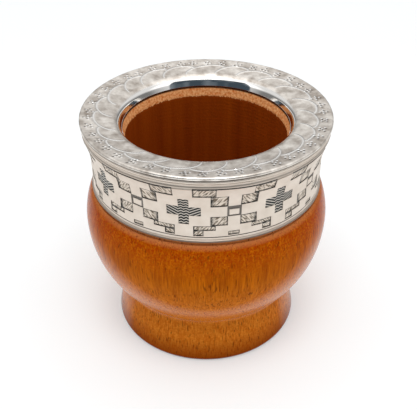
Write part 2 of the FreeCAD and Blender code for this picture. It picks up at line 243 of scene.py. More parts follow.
ahead = toward((math.sin(CAMERA_TURN), -math.cos(CAMERA_TURN), 0.0))
bright = maths(tree, "MAXIMUM", ramp(tree, upward, *CEILING), ramp(tree, ahead, *FRONT))
tent = mix(tree, ramp(tree, upward, *SKIRT), mix(tree, bright, TENT_GREY, TENT_WHITE), TENT_LOW)
things = add_node(tree, "ShaderNodeTexNoise", {"Vector": direction, "Scale": THINGS_SCALE,
                                               "Detail": 1.0}).outputs["Fac"]
room = mix(tree, ramp(tree, things, *THINGS_RANGE), ROOM_DARK, ROOM_PALE)
seen = add_node(tree, "ShaderNodeLightPath").outputs["Is Camera Ray"]
shown = mix(tree, seen, mix(tree, opening, tent, room), WHITE)
light = add_node(tree, "ShaderNodeBackground", {"Color": shown, "Strength": 1.0})
add_node(tree, "ShaderNodeOutputWorld", {"Surface": light.outputs["Background"]})
print(f"tent with an opening {math.degrees(OPENING_LEFT + OPENING_RIGHT):.1f} degrees wide")

# %% [markdown]
# A softbox hangs half a metre above the cup and a little in front of it. It lights
# the flange and the wall of the well, and casts the soft shadow round the foot. A
# flat lamp's power is its radiance times pi times its area, so a larger lamp of
# the same brightness needs more power.

# %% Lamp
LAMP_SIDE, LAMP_HEIGHT, LAMP_FORWARD = 0.20, 0.50, 0.17
LAMP_RADIANCE = 5.0
lamp_data = bpy.data.lights.new("softbox", "AREA")
lamp_data.shape = "SQUARE"
lamp_data.size = LAMP_SIDE
lamp_data.energy = LAMP_RADIANCE * math.pi * LAMP_SIDE ** 2
lamp = bpy.data.objects.new("softbox", lamp_data)
lamp.location = (LAMP_FORWARD * math.sin(CAMERA_TURN), -LAMP_FORWARD * math.cos(CAMERA_TURN), LAMP_HEIGHT)
lamp.rotation_euler = (math.atan2(LAMP_FORWARD, LAMP_HEIGHT), 0.0, CAMERA_TURN)
bpy.context.scene.collection.objects.link(lamp)
bpy.context.scene.view_settings.view_transform = "Standard"
print(f"lamp {lamp_data.energy:.2f} W")

# %% [markdown]
# All three pieces were made by turning, so each starts as a profile: a line in
# the plane of radius and height. Straight runs and arcs are sampled as whole
# arrays and joined end to end, which keeps each profile as readable as a
# turner's template.

# %% Helpers for profiles
def straight(first, last, step=0.5):
    """Points from first to last, no further apart than step, by linear steps."""
    count = max(int(math.dist(first, last) / step), 1) + 1
    return np.linspace(first, last, count)


def arc(centre, radius, from_angle, to_angle, step=0.3):
    """Points centre + radius (cos a, sin a), with a running between two angles in degrees."""
    turn = math.radians(abs(to_angle - from_angle))
    count = max(int(radius * turn / step), 4) + 1
    angle = np.radians(np.linspace(from_angle, to_angle, count))
    return np.array(centre) + radius * np.column_stack((np.cos(angle), np.sin(angle)))


def joined(*stretches):
    """One profile from stretches laid end to end, without the doubled points."""
    points = np.vstack(stretches)
    keep = np.ones(len(points), bool)
    keep[1:] = np.hypot(*np.diff(points, axis=0).T) > 1e-4
    return points[keep]


def angle_at(centre, point):
    """Direction in degrees from a centre to a point."""
    return math.degrees(math.atan2(point[1] - centre[1], point[0] - centre[0]))


# %% [markdown]
# A turned surface is then a grid: one parameter runs along the profile and the
# other round the axis, and a point is (r cos a, r sin a, z). Where r and z may
# differ from one column to the next, the same grid also carries engraving. A
# profile that travels up the outside and down the inside gives faces that point
# outwards.

# %% Helper for turned surfaces
SHARP_DEGREES = 40


def turned(name, radius, height, angle, closed, attributes=None, chart=None):
    """Surface of revolution in mm: point (i, j) is (r cos a, r sin a, z) at ring i, column j.

    closed joins the last ring to the first; otherwise both ends are closed by a
    point on the axis. attributes are grids of values, and chart gives the flat
    map (u, v) of each corner of the faces between columns.
    """
    rings, columns = len(radius), len(angle)
    radius = np.broadcast_to(radius, (rings, columns)) * MM
    height = np.broadcast_to(height, (rings, columns)) * MM
    points = np.stack((radius * np.cos(angle), radius * np.sin(angle), height), axis=-1).reshape(-1, 3)
    ring = np.arange(rings if closed else rings - 1)[:, None]
    column = np.arange(columns)[None, :]
    above, beside = (ring + 1) % rings, (column + 1) % columns
    quads = np.stack((ring * columns + column, ring * columns + beside,
                      above * columns + beside, above * columns + column), axis=-1).reshape(-1, 4)
    faces = quads.tolist()
    if not closed:
        first, last = len(points), len(points) + 1
        points = np.vstack((points, [(0, 0, height[0, 0]), (0, 0, height[-1, 0])]))
        top = (rings - 1) * columns
        faces += [(first, (c + 1) % columns, c) for c in range(columns)]
        faces += [(last, top + c, top + (c + 1) % columns) for c in range(columns)]
    mesh = bpy.data.meshes.new(name)
    mesh.from_pydata(points.tolist(), [], faces)
    for label, values in (attributes or {}).items():
        grid = np.broadcast_to(values, (rings, columns)).ravel()
        layer = mesh.attributes.new(label, "FLOAT", "POINT")
        layer.data.foreach_set("value", np.append(grid, np.zeros(len(points) - len(grid))).astype(np.float32))
    if chart is not None:
        mesh.uv_layers.new(name="engraving").data.foreach_set("uv", chart.astype(np.float32).ravel())
    mesh.polygons.foreach_set("use_smooth", np.ones(len(faces), bool))
    mesh.update()
    mesh.set_sharp_from_angle(angle=math.radians(SHARP_DEGREES))
    piece = bpy.data.objects.new(name, mesh)
    bpy.context.scene.collection.objects.link(piece)
    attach(piece, "root")
    print(f"{name}: {len(points)} points, {len(faces)} faces")
    return piece


# %% [markdown]
# The body was turned from one block of hardwood, with the grain standing
# upright. Its outside is four stretches: a foot that narrows to a waist, a
# belly that swells out and back, and a shoulder that ends under the collar.
# Each stretch is a line or an arc that touches the next one, and the places
# where they touch are worked out here.

# %% Outline of the wooden body
FOOT_R, FOOT_ROUND = 32.1, 1.5
WAIST_R, WAIST_Z, WAIST_ROUND = 29.2, 15.9, 3.5
BELLY_R, BELLY_Z = 40.6, 43.0
SHOULDER_R, BAND_BOTTOM_Z = 37.6, 55.4
SHOULDER_ROUND, SHOULDER_FROM, SHOULDER_TO, GROOVE_R = 3.2, 21.0, 58.0, 37.0


def belly_arc(low, high, level):
    """Centre and radius of the arc through two points whose centre lies at a given height."""
    reach = (high[0] ** 2 - low[0] ** 2 + (high[1] - level) ** 2 - (low[1] - level) ** 2) / (2 * (high[0] - low[0]))
    return (reach, level), math.dist((reach, level), low)


waist, equator, shoulder = (WAIST_R, WAIST_Z), (BELLY_R, BELLY_Z), (SHOULDER_R, BAND_BOTTOM_Z)
low_centre, low_radius = belly_arc(waist, equator, BELLY_Z)
high_centre, high_radius = belly_arc(equator, shoulder, BELLY_Z)

# The waist's round touches the sloping foot and the belly's arc from outside
slope = math.atan2(FOOT_R - WAIST_R, WAIST_Z)
foot_normal = np.array([math.cos(slope), math.sin(slope)])
offset = np.array([FOOT_R, 0.0]) + WAIST_ROUND * foot_normal
along = np.array([-math.sin(slope), math.cos(slope)])
to_offset = offset - np.array(low_centre)
half_b = float(along @ to_offset)
travel = -half_b - math.sqrt(half_b ** 2 - to_offset @ to_offset + (low_radius + WAIST_ROUND) ** 2)
waist_centre = offset + travel * along
waist_from = waist_centre - WAIST_ROUND * foot_normal
to_belly = (np.array(low_centre) - waist_centre) / math.dist(low_centre, waist_centre)
waist_to = waist_centre + WAIST_ROUND * to_belly

# The foot's bottom edge is a round that touches the floor and the slope
foot_centre = FOOT_R - FOOT_ROUND * (1 + math.sin(slope)) / math.cos(slope)
foot_to = (foot_centre + FOOT_ROUND * foot_normal[0], FOOT_ROUND + FOOT_ROUND * foot_normal[1])

# The shoulder turns in faster just under the collar, and leaves a narrow groove there
shoulder_way = np.array([math.cos(math.radians(SHOULDER_FROM)), math.sin(math.radians(SHOULDER_FROM))])
shoulder_from = np.array(high_centre) + high_radius * shoulder_way
round_centre = np.array(high_centre) + (1 - SHOULDER_ROUND / high_radius) * (shoulder_from - np.array(high_centre))

outside = joined(
    straight((1.0, 0.0), (foot_centre, 0.0), 3.0),
    arc((foot_centre, FOOT_ROUND), FOOT_ROUND, -90, math.degrees(slope), 0.15),
    straight(foot_to, tuple(waist_from)),
    arc(tuple(waist_centre), WAIST_ROUND, angle_at(waist_centre, waist_from) % 360,
        angle_at(waist_centre, waist_to) % 360, 0.15),
    arc(low_centre, low_radius, angle_at(low_centre, waist_to), 0.0, 0.4),
    arc(high_centre, high_radius, 0.0, SHOULDER_FROM, 0.3),
    arc(tuple(round_centre), SHOULDER_ROUND, SHOULDER_FROM, SHOULDER_TO, 0.1))
print(f"outline of the wood: {len(outside)} points")

# %% [markdown]
# The neck goes up inside the collar, and the well is bored from above. Its
# mouth is rolled to take the rim, with a ledge and a bevel under the throat. The
# outline and the inside make one fine profile, and 288 columns keep the belly's
# edge round.

# %% Surface of the wooden body
NECK_R, NECK_TOP_Z = 36.5, 78.17
ROLL_R, ROLL_Z, MOUTH_ROLL, DISH, TAPER = 30.28, 75.21, 2.25, 6.4, 19.3
MOUTH_R, LEDGE_Z, BEVEL_LOW_Z = 27.68, 74.6, 71.85
THROAT_R, BORE_R, BORE_ROUND, BORE_FLOOR_Z = 26.8, 26.05, 12.0, 14.0
COLUMNS = 288

mouth_arc = arc((ROLL_R, ROLL_Z), MOUTH_ROLL, 90 + DISH, 180 - TAPER)
inside = joined(
    straight(tuple(outside[-1]), (GROOVE_R, outside[-1, 1]), 0.1),
    straight((GROOVE_R, outside[-1, 1]), (GROOVE_R, BAND_BOTTOM_Z), 0.2),
    straight((GROOVE_R, BAND_BOTTOM_Z), (NECK_R, BAND_BOTTOM_Z)),
    straight((NECK_R, BAND_BOTTOM_Z), (NECK_R, NECK_TOP_Z), 3.0),
    straight((NECK_R, NECK_TOP_Z), tuple(mouth_arc[0]), 2.0),
    mouth_arc,
    straight(tuple(mouth_arc[-1]), (MOUTH_R, LEDGE_Z)),
    straight((MOUTH_R, LEDGE_Z), (THROAT_R, LEDGE_Z), 0.3),
    straight((THROAT_R, LEDGE_Z), (BORE_R, BEVEL_LOW_Z), 0.3),
    straight((BORE_R, BEVEL_LOW_Z), (BORE_R, BORE_FLOOR_Z + BORE_ROUND), 1.5),
    arc((BORE_R - BORE_ROUND, BORE_FLOOR_Z + BORE_ROUND), BORE_ROUND, 0, -90, 0.8),
    straight((BORE_R - BORE_ROUND, BORE_FLOOR_Z), (1.0, BORE_FLOOR_Z), 3.0))
body_profile = joined(outside, inside)
body_angle = np.arange(COLUMNS) * 2 * math.pi / COLUMNS
wooden_body = turned("turned_body", body_profile[:, :1], body_profile[:, 1:], body_angle, closed=False)
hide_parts("wooden_cup")

# %% [markdown]
# The wood is a dense reddish hardwood, oiled and rubbed. A solid pattern on
# Object coordinates is stretched along the grain, so it shows long streaks on
# the sides and a fine stipple on the shoulder, as real timber does. Dark pores
# are short upright dashes. The colour also follows the height: redder where the
# end grain comes up, paler below the belly as painted bounce light from the
# floor, with a painted highlight in a band just under the collar, and darker and
# redder towards the bottom of the foot as painted shade. Oiled wood has a weak
# shine that grows towards its edges, most of all below the belly's widest line,
# which mirrors the white floor.

# %% Finish of the wood outside
STREAK_MM, FINE_MM, PORE_MM, MOTTLE_MM = 1.8, 0.5, 0.38, 0.65
STREAK_SQUEEZE, PORE_SQUEEZE = 0.09, 0.10
PORE_BUMP, PORE_DEPTH_MM = 0.3, 0.05
SHINE_IN_FRONT, SHINE_FACING = 0.02, (0.55, 0.92)

# Ramps by height, then by pattern: where each starts and ends, and its strengths there
BOUNCE_LIGHT, END_GRAIN = (42.0 * MM, 27.0 * MM, 0.0, 0.9), (41.0 * MM, 51.0 * MM)
SHOULDER_HIGHLIGHT, FOOT_SHADE = (52.8 * MM, 54.4 * MM, 0.0, 0.5), (9.0 * MM, 1.2 * MM, 0.0, 0.95)
EDGE_SHINE = (30.0 * MM, 44.0 * MM, 0.8, 0.12)
STREAKS, FUZZY, STIPPLE, PORES = (0.74, 1.28), (0.78, 1.22), (0.40, 0.60, 0.15), (0.65, 0.76, 0.0, 0.65)

# Oiled hardwood: warm orange brown with upright streaks and a silky edge
oiled, tree, output = new_material("oiled_hardwood")
place = object_place(tree)
up = one_axis(tree, place, "Z")
upright = scaled(tree, place, (1.0, 1.0, STREAK_SQUEEZE))
streak = noise(tree, upright, STREAK_MM * MM, 2.0)
fine = noise(tree, upright, FINE_MM * MM, 2.0)
mottle = noise(tree, place, MOTTLE_MM * MM, 3.0)
pore = noise(tree, scaled(tree, place, (1.0, 1.0, PORE_SQUEEZE)), PORE_MM * MM, 0.0)
streaked = mix(tree, ramp(tree, maths(tree, "ADD", streak, fine), *STREAKS), "#A04C02", "#C86A06")
bounce_lit = mix(tree, ramp(tree, maths(tree, "ADD", mottle, fine), *FUZZY), "#C2620E", "#DC8428")
# Painted bounce light from the floor: the lower belly and the foot are paler
timber = mix(tree, ramp(tree, up, *BOUNCE_LIGHT), streaked, bounce_lit)
red = maths(tree, "MULTIPLY", ramp(tree, up, *END_GRAIN), ramp(tree, mottle, *STIPPLE))
reddened = mix(tree, red, timber, "#A43C00")
# Painted highlight: a pale band just under the collar
highlighted = mix(tree, ramp(tree, up, *SHOULDER_HIGHLIGHT), reddened, "#D8935C")
# Painted shade: darker and redder towards the bottom of the foot
foot_shaded = mix(tree, ramp(tree, up, *FOOT_SHADE), highlighted, "#8A3A01")
pore_mask = ramp(tree, pore, *PORES)
pitted = add_node(tree, "ShaderNodeBump", {"Height": pore_mask, "Strength": PORE_BUMP,
                                           "Distance": PORE_DEPTH_MM * MM}, invert=True)
facing = add_node(tree, "ShaderNodeLayerWeight", {"Blend": 0.5}).outputs["Facing"]
shine = ramp(tree, facing, *SHINE_FACING, SHINE_IN_FRONT, ramp(tree, up, *EDGE_SHINE))
principled(tree, output, {
    "Base Color": mix(tree, pore_mask, foot_shaded, "#5E2802"), "Roughness": 0.25, "IOR": 1.5,
    "Specular IOR Level": shine, "Normal": pitted.outputs["Normal"]})
print(f"{oiled.name}: {len(tree.nodes)} nodes")

# %% [markdown]
# Inside, the bored wall is dark from wet leaves, with long streaks along the
# grain and the faint rings that the boring tool left. Just under the throat the
# timber was cut when the rim was fitted, so a pale raw ring is left there, fuzzy
# to look at, with a band of painted shadow in the crevice above it.

# %% Finish of the wood inside
BORED_STREAK_MM, BORED_SQUEEZE, FUZZ_MM, TOOL_MARK_MM = 3.0, 0.05, 0.7, 1.4
RAGGED_MM, TOOL_MARK_SHARE = 1.2, 0.2
RAW_RING, CREVICE_SHADOW, FUZZY_RAW = (72.0 * MM, 72.3 * MM), (74.1 * MM, 74.45 * MM, 0.0, 0.95), (0.3, 0.75)
WELL_OUT_R, WELL_LOW_Z = MOUTH_R + 1.0, 5.0

# A wave of scale 1 has 20 radians to a unit of length, so this over a spacing gives the scale
WAVE_PERIOD = 2 * math.pi / 20

# Bored hardwood: dark wet brown, with a pale fuzzy ring of raw wood at the top
bored, tree, output = new_material("bored_hardwood")
place = object_place(tree)
up = one_axis(tree, place, "Z")
grain = noise(tree, scaled(tree, place, (1.0, 1.0, BORED_SQUEEZE)), BORED_STREAK_MM * MM, 5.0)
fuzz = noise(tree, place, FUZZ_MM * MM, 3.0)
wet = mix(tree, grain, "#762801", "#A44A04")
raw = mix(tree, ramp(tree, fuzz, *FUZZY_RAW), "#D4702E", "#FFC88A")
ragged = maths(tree, "MULTIPLY_ADD", fuzz, RAGGED_MM * MM, up)
ringed = mix(tree, ramp(tree, ragged, *RAW_RING), wet, raw)
tool_marks = add_node(tree, "ShaderNodeTexWave", {
    "Vector": place, "Scale": WAVE_PERIOD / (TOOL_MARK_MM * MM), "Distortion": 3.0}, bands_direction="Z").outputs["Fac"]
cut = maths(tree, "MULTIPLY_ADD", tool_marks, TOOL_MARK_SHARE, fuzz)
rough = add_node(tree, "ShaderNodeBump", {"Height": cut, "Strength": 0.5, "Distance": 0.2 * MM})
# The crevice band under the throat is painted shadow, near black
principled(tree, output, {
    "Base Color": mix(tree, ramp(tree, up, *CREVICE_SHADOW), ringed, "#3A1B08"), "Roughness": 0.6,
    "IOR": 1.5, "Specular IOR Level": 0.1, "Normal": rough.outputs["Normal"]})

wooden_body.data.materials.append(oiled)
wooden_body.data.materials.append(bored)
centres = np.zeros(len(wooden_body.data.polygons) * 3)
wooden_body.data.polygons.foreach_get("center", centres)
centres = centres.reshape(-1, 3) / MM
well = (np.hypot(centres[:, 0], centres[:, 1]) < WELL_OUT_R) & (centres[:, 2] > WELL_LOW_Z)
wooden_body.data.polygons.foreach_set("material_index", well.astype(np.int32))
print(f"well: {int(well.sum())} faces")

# %% [markdown]
# The collar is a strip of nickel silver rolled into a sleeve that flares at the
# top, with a bead along its foot and a round lip under the rim. Its frieze was
# cut by hand: eight stepped diamonds, each with a blackened cross, and hatched
# blocks sunk between them. The blocks are a height map on the sleeve's own grid.
# The grid's columns and rows are placed in pairs at every edge of the pattern,
# so each wall stands steep with no need for an even, far denser grid.

# %% Frieze of the collar, in mm along the sleeve
REPEATS, BAND_R, BAND_SHEET, DEPTH = 8, 37.4, 0.8, 0.2
HALF_PITCH = math.pi * BAND_R / REPEATS
LINE_WIDTH, WALL = 0.34, 0.03
ARM, TIER, BAR_END, STEM_END = 2.75, 7.75, HALF_PITCH - 5.4, HALF_PITCH - 1.95
MIDDLE, FRAME_LINE, FRAME_BAR, STEP_END = HALF_PITCH - 2.1, 0.5, 1.2, 5.75
TILE, TILE_HEIGHT = HALF_PITCH - 1.67, 1.4
FRIEZE_LOW, LOW_STEP, STEM_LOW, FLARE_START = 57.8, 59.7, 61.3, 64.6
MIDDLE_TOP, TIER_TOP, FRIEZE_TOP = 68.25, 72.1, 75.1
CROSS_Z, CROSS_HALF_SPAN, CROSS_HALF_HEIGHT, CROSS_ARM, CROSS_UPRIGHT = 66.425, 5.0, 4.55, 1.6, 1.525
GRID_LOW, GRID_HIGH = 56.7, 75.7

# Sunk blocks: nearest and furthest distance from a diamond's middle, then heights
BLOCKS = [
    (TIER, STEM_END, STEM_LOW, FLARE_START), (TIER, STEM_END, MIDDLE_TOP, TIER_TOP),
    (ARM, BAR_END, LOW_STEP, STEM_LOW), (ARM, BAR_END, TIER_TOP, FRIEZE_TOP),
    (ARM, STEP_END, FRIEZE_LOW, LOW_STEP), (TILE, HALF_PITCH, FRIEZE_LOW, FRIEZE_LOW + TILE_HEIGHT)]
FRAMES = [
    (MIDDLE, MIDDLE + FRAME_LINE, FLARE_START + FRAME_LINE, MIDDLE_TOP - FRAME_BAR),
    (MIDDLE, HALF_PITCH, FLARE_START, FLARE_START + FRAME_LINE),
    (MIDDLE, HALF_PITCH, MIDDLE_TOP - FRAME_BAR, MIDDLE_TOP)]
CROSS = [
    (0.0, CROSS_HALF_SPAN, CROSS_Z - CROSS_ARM, CROSS_Z + CROSS_ARM),
    (0.0, CROSS_UPRIGHT, CROSS_Z - CROSS_HALF_HEIGHT, CROSS_Z + CROSS_HALF_HEIGHT)]
BORDERS = [(0.0, HALF_PITCH, 57.2, 57.5), (0.0, HALF_PITCH, 75.1, 75.5)]


def edge_pairs(edges, low, high, widest):
    """Grid positions between low and high: a pair of lines at each edge, and fillers between."""
    steps = np.array([-LINE_WIDTH - WALL, -LINE_WIDTH, -WALL, WALL, LINE_WIDTH, LINE_WIDTH + WALL])
    lines = np.unique(np.round(np.append((np.array(edges)[:, None] + steps).ravel(), (low, high)), 3))
    lines = lines[(lines >= low) & (lines <= high)]
    lines = lines[np.append(True, np.diff(lines) > WALL)]
    fill = [np.linspace(first, last, int((last - first) / widest) + 1, endpoint=False)
            for first, last in zip(lines[:-1], lines[1:])]
    return np.append(np.concatenate(fill), lines[-1])


def covered(across, up, blocks, inset=(0.0, 0.0)):
    """True where a point lies in one of the blocks, shrunk by inset sideways and upwards."""
    beside, above = inset
    return np.any([(across > near + beside if near else True) & (across < far - beside if far < HALF_PITCH else True)
                   & (up > low + above) & (up < high - above) for near, far, low, high in blocks], axis=0)


across_edges = [edge for block in BLOCKS + FRAMES + CROSS for edge in block[:2] if 0 < edge < HALF_PITCH]
up_edges = sorted({edge for block in BLOCKS + FRAMES + CROSS + BORDERS for edge in block[2:]})
half_motif = edge_pairs(across_edges, 0.0, HALF_PITCH, widest=1.1)
motif = np.concatenate((-half_motif[:0:-1], half_motif[:-1]))
frieze_z = edge_pairs(up_edges, GRID_LOW, GRID_HIGH, widest=0.9)
print(f"frieze grid: {len(motif) * REPEATS} columns, {len(frieze_z)} rows")

# %% [markdown]
# The sleeve's outline is straight below and an arc above, so its radius is a
# function of height. A bead runs along its foot, and a hollow and a round lip
# finish the top, where the rim sits.

# %% Profile of the collar
LIP_R, LIP_BEAD_R, LIP_BEAD, SEAT_Z, BEAD = 39.5, 39.2, 0.6, 78.2, 0.45
COVE_OUT, COVE_Z, COVE_ROUND, COVE_LOW_Z = 0.55, 76.45, 0.62, 75.95
LIP_WIDTH, SLEEVE_TOP_Z = 1.2, 73.6
FLARE_ARC = ((FRIEZE_TOP - FLARE_START) ** 2 + (LIP_R - BAND_R) ** 2) / (2 * (LIP_R - BAND_R))
FLARE_CENTRE = BAND_R + FLARE_ARC


def sleeve_radius(up):
    """Outer radius at a height: the band's, then the arc that leaves it upright."""
    rise = np.clip(up - FLARE_START, 0.0, FRIEZE_TOP - FLARE_START)
    return FLARE_CENTRE - np.sqrt(FLARE_ARC ** 2 - rise ** 2)


bead_arc = arc((BAND_R, BAND_BOTTOM_Z + BEAD), BEAD, -90, 90, 0.2)
cove = joined(straight((LIP_R, GRID_HIGH), (LIP_R, COVE_LOW_Z), 0.2),
              arc((LIP_R + COVE_OUT, COVE_Z), COVE_ROUND, 222, 140, 0.22))
lip_arc = arc((LIP_BEAD_R, SEAT_Z - LIP_BEAD), LIP_BEAD, -70, 90, 0.24)
hidden = joined(straight((LIP_R - LIP_WIDTH, SEAT_Z), (LIP_R - LIP_WIDTH, SLEEVE_TOP_Z), 3.0),
                straight((LIP_R - LIP_WIDTH, SLEEVE_TOP_Z), (BAND_R - BAND_SHEET, FLARE_START), 3.0),
                straight((BAND_R - BAND_SHEET, FLARE_START), (BAND_R - BAND_SHEET, BAND_BOTTOM_Z), 5.0))
frieze_profile = np.column_stack((sleeve_radius(frieze_z), frieze_z))
collar_profile = joined(straight((BAND_R - BAND_SHEET, BAND_BOTTOM_Z), bead_arc[0]), bead_arc,
                        frieze_profile, cove, lip_arc, straight(lip_arc[-1], hidden[0]), hidden[:-1])
print(f"collar profile: {len(collar_profile)} points")

# %% [markdown]
# Engraving takes a little off the radius inside the blocks. Each mark is a grid
# of true and false: block floors, their outlines, frames, crosses and borders.
# They shape the surface and, stored on it, tell the finish where to go dark. A
# hand never cuts quite straight: a slow wobble of less than a tenth of a
# millimetre moves the lines, and keeps the pattern from looking printed. The
# seam under the rim, the hollow and the bead are darkened with painted shade.

# %% Surface of the collar
WOBBLE, WOBBLE_ALONG, WOBBLE_UP = 0.07, 4.3, 2.0
FAINT_BORDER, FRAME_DARKNESS, BORDERS_SPLIT_Z = 0.3, 0.8, 60

# Painted shade: how dark it gets, at what height, and over what reach
SEAM_SHADOW, HOLLOW_SHADE, BEAD_SHADE = (0.95, SEAT_Z, 0.15), (0.5, 76.0, 0.5), (0.8, BAND_BOTTOM_Z + 0.4, 0.55)

around = (np.arange(REPEATS)[:, None] * 2 * HALF_PITCH + motif).ravel()
across = np.abs(np.tile(motif, REPEATS))[None, :]
side_of_diamond = np.sign(np.tile(motif, REPEATS))[None, :]
rise = collar_profile[:, 1:]
engraved = (rise > GRID_LOW) & (rise < GRID_HIGH) & (collar_profile[:, :1] > BAND_R - 0.1)
floor_mask, frame_mask, cross_mask, border_mask = (
    covered(across, rise, shapes) & engraved for shapes in (BLOCKS, FRAMES, CROSS, BORDERS))
sunk = floor_mask | frame_mask | cross_mask | border_mask
level_line = floor_mask & ~covered(across, rise, BLOCKS, (0.0, LINE_WIDTH))
upright_line = floor_mask & ~covered(across, rise, BLOCKS, (LINE_WIDTH, 0.0))
border_darkness = np.where((rise < BORDERS_SPLIT_Z) | (across > ARM), 1.0, FAINT_BORDER)
solid_line = np.maximum(np.where(border_mask, border_darkness, 0.0), np.where(frame_mask, FRAME_DARKNESS, 0.0))
lift = np.where(engraved, WOBBLE * np.sin(around / WOBBLE_ALONG + rise / WOBBLE_UP), 0.0)


def shade_band(darkness, level, reach):
    """Painted shade round a height, by a bell curve of the distance to it."""
    return darkness * np.exp(-((rise - level) / reach) ** 2)


def chart_of_sleeve(rings):
    """Flat map of the sleeve: distance along it from the first diamond's middle, and height, in mm."""
    near, far = around, np.append(around[1:], (2 * REPEATS - 1) * HALF_PITCH)
    low, high = rise[:, 0], np.roll(rise[:, 0], -1)
    u = np.broadcast_to(np.stack((near, far, far, near), axis=-1), (rings, len(around), 4))
    v = np.broadcast_to(np.stack((low, low, high, high), axis=-1)[:, None, :], (rings, len(around), 4))
    return np.stack((u, v), axis=-1)


outer = collar_profile[:, :1] > LIP_R - 0.4
# Painted shade in the seam under the rim, in the hollow, and on the bead
shade_grid = np.where(outer, shade_band(*SEAM_SHADOW) + shade_band(*HOLLOW_SHADE), 0.0)
shade_grid = np.maximum(shade_grid, shade_band(*BEAD_SHADE))
collar = turned("engraved_collar", collar_profile[:, :1] - DEPTH * sunk, rise + lift, around / BAND_R - math.pi / 2,
                closed=True, chart=chart_of_sleeve(len(collar_profile)),
                attributes={"hatched": floor_mask, "blackened": cross_mask, "across": across, "side": side_of_diamond,
                            "level_line": level_line, "upright_line": upright_line,
                            "solid_line": solid_line, "shade_paint": shade_grid})
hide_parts("collar_band")

# %% [markdown]
# Nickel silver is a pale, slightly warm metal. Rubbed with fine abrasive it
# turns satin, and the black that fills its cuts is old polish and sulphide,
# which is no metal, so metalness falls where the black lies. The scratches that
# fill the blocks are noise on the flat map, turned by 40 degrees and stretched
# along the stroke, and they lean the other way on the other side of a diamond.
# The lines in the crosses are a wave that climbs and falls with the distance
# from the middle. Real lines are finer than this in both, too fine for a pixel of
# the picture, so they are spaced wider here.

# %% Finish of the collar
STROKE_MM, STROKE_LONG, STROKE_LEAN = 0.42, 5.0, 40
CROSS_LINE_MM, ZIGZAG_MM, CROSS_LEAN = 0.95, 0.75, -0.5
WORN_MM, COLLAR_CLOUD_MM = 1.1, 4.0
SCRATCHES, CROSS_LINES, WEAR, SCRATCH_ENDS = (0.38, 0.56), (0.62, 0.82), (0.40, 0.55, 0.6), (0.56, 0.46)

# Satin nickel silver: pale warm grey with soft reflections and dark engraving
sleeve_metal, tree, output = new_material("satin_nickel_silver")
chart = add_node(tree, "ShaderNodeUVMap", uv_map="engraving").outputs["UV"]
place = object_place(tree)
hatched, blackened, across_mask, side, level_mask, upright_mask, solid_mask, shade_paint = stored(
    tree, "hatched", "blackened", "across", "side", "level_line", "upright_line", "solid_line", "shade_paint")
worn = noise(tree, place, WORN_MM * MM, 3.0)
cloud = noise(tree, place, COLLAR_CLOUD_MM * MM, 4.0)

# Scratches in the blocks
mirror = add_node(tree, "ShaderNodeCombineXYZ", {0: side, 1: 1.0, 2: 1.0}).outputs["Vector"]
mirrored = add_node(tree, "ShaderNodeVectorMath", {0: chart, 1: mirror}, operation="MULTIPLY").outputs["Vector"]
leaning = add_node(tree, "ShaderNodeMapping", {
    "Vector": mirrored, "Rotation": (0, 0, math.radians(STROKE_LEAN))}).outputs["Vector"]
hatch = noise(tree, scaled(tree, leaning, (1.0, 1 / STROKE_LONG, 1.0)), STROKE_MM, 1.0)

# Lines in the crosses: zigzags in the upright part, slanting lines in the side arms
chart_height = one_axis(tree, chart, "Y")
in_arm = maths(tree, "GREATER_THAN", across_mask, CROSS_UPRIGHT)
climb = mix_numbers(tree, in_arm, maths(tree, "PINGPONG", across_mask, ZIGZAG_MM), across_mask)
line_at = maths(tree, "MULTIPLY_ADD", climb, CROSS_LEAN, chart_height)
line_place = add_node(tree, "ShaderNodeCombineXYZ", {0: line_at}).outputs["Vector"]
cross_lines = add_node(tree, "ShaderNodeTexWave", {"Vector": line_place, "Scale": WAVE_PERIOD / CROSS_LINE_MM,
                                                   "Distortion": 0.5}).outputs["Fac"]

bare = mix(tree, cloud, "#D2C4B5", "#EFE4D9")
scratched = mix(tree, ramp(tree, hatch, *SCRATCHES), "#786C5E", "#E0D4C6")
black = mix(tree, ramp(tree, cross_lines, *CROSS_LINES), "#0C0B0A", "#D4CCC0")
patterned = mix(tree, blackened, mix(tree, hatched, bare, scratched), black)

# Outlines: level ones are broken by the ends of the scratches, upright ones only by wear
worn_mask = ramp(tree, worn, *WEAR)
broken = maths(tree, "MAXIMUM", ramp(tree, hatch, *SCRATCH_ENDS), worn_mask)
level_dark = maths(tree, "MULTIPLY", level_mask, broken)
upright_dark = maths(tree, "MULTIPLY", upright_mask, worn_mask)
line_mask = maths(tree, "MAXIMUM", maths(tree, "MAXIMUM", level_dark, upright_dark), solid_mask)
outlined = mix(tree, line_mask, patterned, "#0E0A07")
dull = maths(tree, "MAXIMUM", line_mask, blackened)
# Painted shade, a dark brown, in the seam, the hollow and on the bead
principled(tree, output, {"Base Color": mix(tree, shade_paint, outlined, "#4E3824"),
                          "Metallic": ramp(tree, dull, 0.0, 1.0, 1.0, 0.3), "Roughness": 0.45})
collar.data.materials.append(sleeve_metal)
print(f"{sleeve_metal.name}: {len(tree.nodes)} nodes")

# %% [markdown]
# The rim was spun from sheet: a wide, slightly dished flange, a rolled edge
# outside, and a throat that rolls over and goes down into the wood, where its
# cut lip is smoothed round. The flange gets a ring of the grid every fifth of a
# millimetre, because the engraving lies on it, and the hidden underside gets
# only a few.

